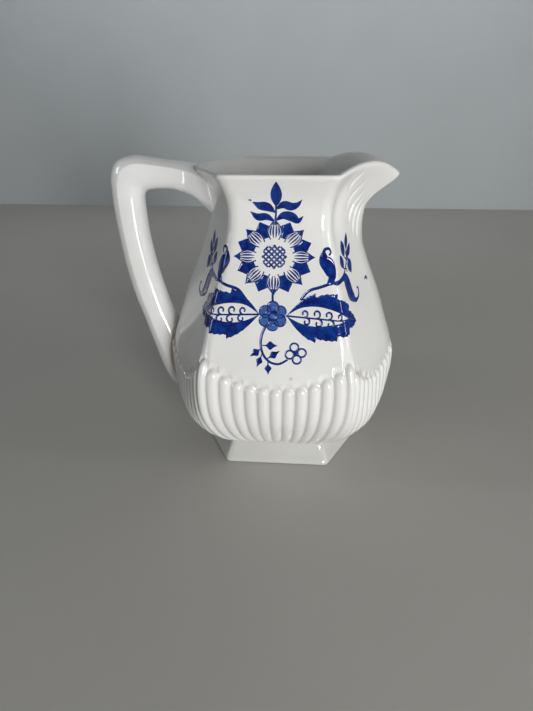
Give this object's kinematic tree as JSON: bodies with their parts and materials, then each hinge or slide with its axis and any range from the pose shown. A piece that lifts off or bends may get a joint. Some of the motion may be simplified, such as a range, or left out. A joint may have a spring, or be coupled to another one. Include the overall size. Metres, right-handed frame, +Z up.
{
  "type": "cream jug",
  "caption": "Six-sided porcelain cream jug with a pulled spout, angular handle, reeded belly, low foot and blue flower print.",
  "frame": {"origin": "centre of the foot, on the surface that the jug stands on", "axes": "+Z up, +X out through the spout with the handle at -X, printed front panel facing -Y"},
  "size_m": [0.1166, 0.0988, 0.118],
  "materials": {
    "body_glaze": "glossy, warm white",
    "foot_glaze": "glossy, warm white",
    "spout_glaze": "glossy, warm white",
    "reed_glaze": "glossy, warm white, greyer in the grooves",
    "handle_glaze": "glossy, warm white",
    "slip": "stained clay seam under glaze",
    "front_blue": "cobalt print under the glaze",
    "back_blue": "cobalt print under the glaze"
  },
  "bodies": {
    "root": {"body": "body_glaze", "foot_ring": "foot_glaze", "spout": "spout_glaze", "belly_reeds": "reed_glaze", "handle": "handle_glaze", "handle_slip": "slip", "front_print": "front_blue", "back_print": "back_blue"}
  },
  "joints": []
}
